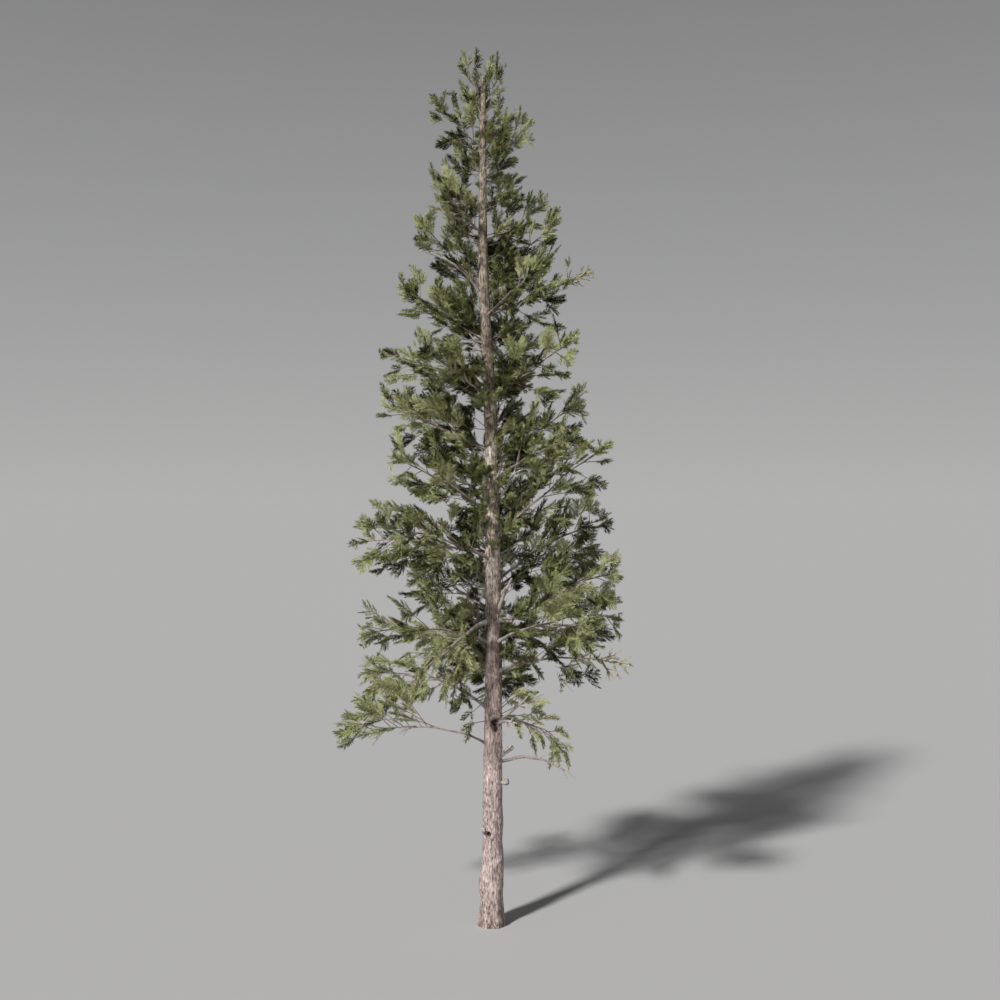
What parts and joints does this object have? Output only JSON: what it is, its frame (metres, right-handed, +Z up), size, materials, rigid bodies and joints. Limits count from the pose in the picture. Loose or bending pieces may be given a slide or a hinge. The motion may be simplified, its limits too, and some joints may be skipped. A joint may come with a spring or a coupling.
{
  "type": "larch tree",
  "caption": "Open-grown siberian larch: a pale, gently bowed trunk with a root flare, single limbs all round and loose sprays of green needles, cut flat at ground level.",
  "frame": {"origin": "middle of the flat cut under the trunk, at ground level", "axes": "+Z up the trunk, +X to the right and -Y towards the viewer in the picture"},
  "size_m": [5.2535, 4.6661, 15.9936],
  "materials": {
    "trunk_bark": "rough pale bark with fine upright fissures",
    "bough_bark": "smoother grey-brown bark",
    "dead_wood": "weathered bare wood",
    "needles": "soft matt green needles on thin twigs"
  },
  "bodies": {
    "root": {"bough_back_1": "bough_bark", "bough_back_2": "bough_bark", "bough_fan": "bough_bark", "bough_front_3": "bough_bark", "bough_left_1": "bough_bark", "bough_left_2": "bough_bark", "bough_left_3": "bough_bark", "bough_right_1": "bough_bark", "bough_right_2": "bough_bark", "bough_right_3": "bough_bark", "dead_limb": "dead_wood", "foliage_back_1": "needles", "foliage_back_10": "needles", "foliage_back_11": "needles", "foliage_back_13": "needles", "foliage_back_14": "needles", "foliage_back_16": "needles", "foliage_back_17": "needles", "foliage_back_19": "needles", "foliage_back_2": "needles", "foliage_back_20": "needles", "foliage_back_22": "needles", "foliage_back_4": "needles", "foliage_back_5": "needles", "foliage_back_7": "needles", "foliage_back_8": "needles", "foliage_fan": "needles", "foliage_front_12": "needles", "foliage_front_15": "needles", "foliage_front_18": "needles", "foliage_front_21": "needles", "foliage_front_3": "needles", "foliage_front_6": "needles", "foliage_front_9": "needles", "foliage_left_1": "needles", "foliage_left_10": "needles", "foliage_left_11": "needles", "foliage_left_12": "needles", "foliage_left_2": "needles", "foliage_left_3": "needles", "foliage_left_4": "needles", "foliage_left_5": "needles", "foliage_left_6": "needles", "foliage_left_7": "needles", "foliage_left_8": "needles", "foliage_left_9": "needles", "foliage_right_1": "needles", "foliage_right_10": "needles", "foliage_right_11": "needles", "foliage_right_12": "needles", "foliage_right_13": "needles", "foliage_right_2": "needles", "foliage_right_3": "needles", "foliage_right_4": "needles", "foliage_right_5": "needles", "foliage_right_6": "needles", "foliage_right_7": "needles", "foliage_right_8": "needles", "foliage_right_9": "needles", "trunk": "trunk_bark"}
  },
  "joints": []
}
